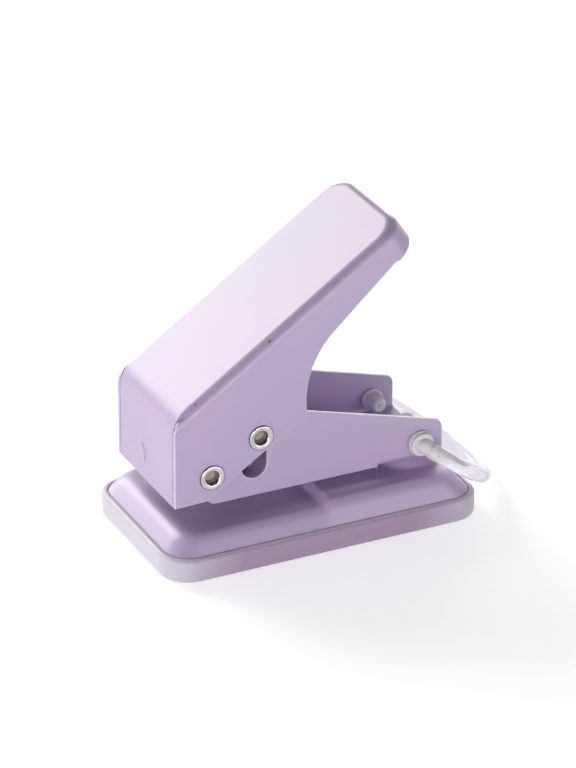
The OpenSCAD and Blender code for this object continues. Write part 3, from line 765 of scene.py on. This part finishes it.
def photo_camera():
    """Camera at the photograph's place, turned by its small roll."""
    az, el, roll = (math.radians(angle) for angle in (AZIMUTH, ELEVATION, ROLL))
    back = Vector((math.sin(az) * math.cos(el), -math.cos(az) * math.cos(el), math.sin(el)))
    level_side = Vector((math.cos(az), math.sin(az), 0))
    side = math.cos(roll) * level_side + math.sin(roll) * back.cross(level_side)
    up = back.cross(side)
    data = bpy.data.cameras.new("photo_camera")
    data.sensor_fit = "VERTICAL"
    data.sensor_height = SENSOR_H
    data.sensor_width = SENSOR_H * PHOTO_W / PHOTO_H
    data.lens = FOCAL_PX / PHOTO_H * SENSOR_H
    data.clip_start = NEAR_CLIP
    camera = bpy.data.objects.new("photo_camera", data)
    bpy.context.collection.objects.link(camera)
    facing = Matrix((side, up, back)).transposed().to_4x4()
    camera.matrix_world = Matrix.Translation(TARGET + DISTANCE * back) @ facing
    bpy.context.scene.camera = camera


def lamp(name, place, size, power, tint=(1.0, 1.0, 1.0)):
    """Soft rectangular lamp that faces the object, in metres and watts."""
    data = bpy.data.lights.new(name, "AREA")
    data.shape = "RECTANGLE"
    data.size, data.size_y = size
    data.energy = power
    data.color = tint
    obj = bpy.data.objects.new(name, data)
    bpy.context.collection.objects.link(obj)
    obj.location = Vector(place)
    obj.rotation_euler = (TARGET - obj.location).to_track_quat("-Z", "Y").to_euler()
    obj.visible_camera = False


# Surround: what gloss sees in front and behind, where one turns to the other, and the share for diffuse light
FRONT_GLOSS, REAR_GLOSS, GLOSS_TURN, DIFFUSE_SHARE = 0.12, 1.0, (-0.35, 0.45), 0.27


def surround():
    """Backdrop that is white to the eye and in glass, and in gloss dims towards the camera's side."""
    world = bpy.data.worlds.new("studio_surround")
    bpy.context.scene.world = world
    world.use_nodes = True
    world.node_tree.nodes.clear()
    w = Nodes(world.node_tree)
    ray = w.add("LightPath").outputs
    seen = w.math("MAXIMUM", ray["Is Camera Ray"], ray["Is Transmission Ray"])
    look = w.add("SeparateXYZ", {0: w.add("TexCoord").outputs["Generated"]}).outputs
    behind = w.span(look["Y"], *GLOSS_TURN, FRONT_GLOSS, REAR_GLOSS, interpolation_type="SMOOTHSTEP")
    room = w.math("MULTIPLY", behind, w.math("MAXIMUM", ray["Is Glossy Ray"], DIFFUSE_SHARE))
    backdrop = w.add("Background", {"Color": (1, 1, 1, 1), "Strength": w.math("MAXIMUM", room, seen)})
    w.add("OutputWorld", {"Surface": backdrop.outputs[0]})


# Table, in metres: half its width, drop under the feet, scale of its clouding, and the rise of its glow
TABLE_HALF, TABLE_DROP, TABLE_CLOUD = 1.5, 0.0002, 6
GLOW_PLACES, GLOW_NEAR, GLOW_FAR = (0.2, 0.4), 0.6, 1.0


def table_top():
    """Pale table, white to the eye and in gloss and glass, with the object's shadow."""
    mesh = bpy.data.meshes.new("table")
    bm = bmesh.new()
    bmesh.ops.create_grid(bm, x_segments=1, y_segments=1, size=TABLE_HALF)
    bm.to_mesh(mesh)
    bm.free()
    floor = bpy.data.objects.new("table", mesh)
    bpy.context.collection.objects.link(floor)
    floor.location.z = -TABLE_DROP
    s = Shader("pale_table")
    at = s.coords()
    s.set(Base_Color=s.mix(s.noise(at, TABLE_CLOUD), srgb(250, 250, 251), srgb(247, 247, 249)), Roughness=0.8)
    ray = s.add("LightPath").outputs
    shown = s.math("MAXIMUM", ray["Is Camera Ray"], ray["Is Glossy Ray"])
    shown = s.math("MAXIMUM", shown, ray["Is Transmission Ray"])
    away = s.add("VectorMath", {0: at}, operation="LENGTH").outputs["Value"]
    strength = s.math("MULTIPLY", shown, s.span(away, *GLOW_PLACES, GLOW_NEAR, GLOW_FAR))
    glow = s.add("Emission", {"Strength": strength})
    total = s.add("AddShader", {0: s.bsdf.outputs[0], 1: glow.outputs[0]})
    s.plug(s.out.inputs["Surface"], total.outputs[0])
    mesh.materials.append(s.mat)


photo_camera()
lamp("key_softbox", (-0.26, 0.75, 0.42), (0.42, 0.62), 4.7, (1.0, 1.0, 0.94))
lamp("front_strip", (-0.1, -0.32, 0.025), (0.4, 0.05), 0.32)
lamp("front_fill", (0.15, -0.6, 0.22), (0.3, 0.12), 0.25)
lamp("right_strip", (0.35, -0.43, 0.08), (0.3, 0.08), 0.45)
lamp("left_strip", (-0.34, -0.05, 0.025), (0.4, 0.05), 0.42)
lamp("rear_strip", (0.54, 0.71, 0.19), (0.3, 0.16), 1.3)
surround()
table_top()
bpy.context.scene.view_settings.view_transform = "Standard"
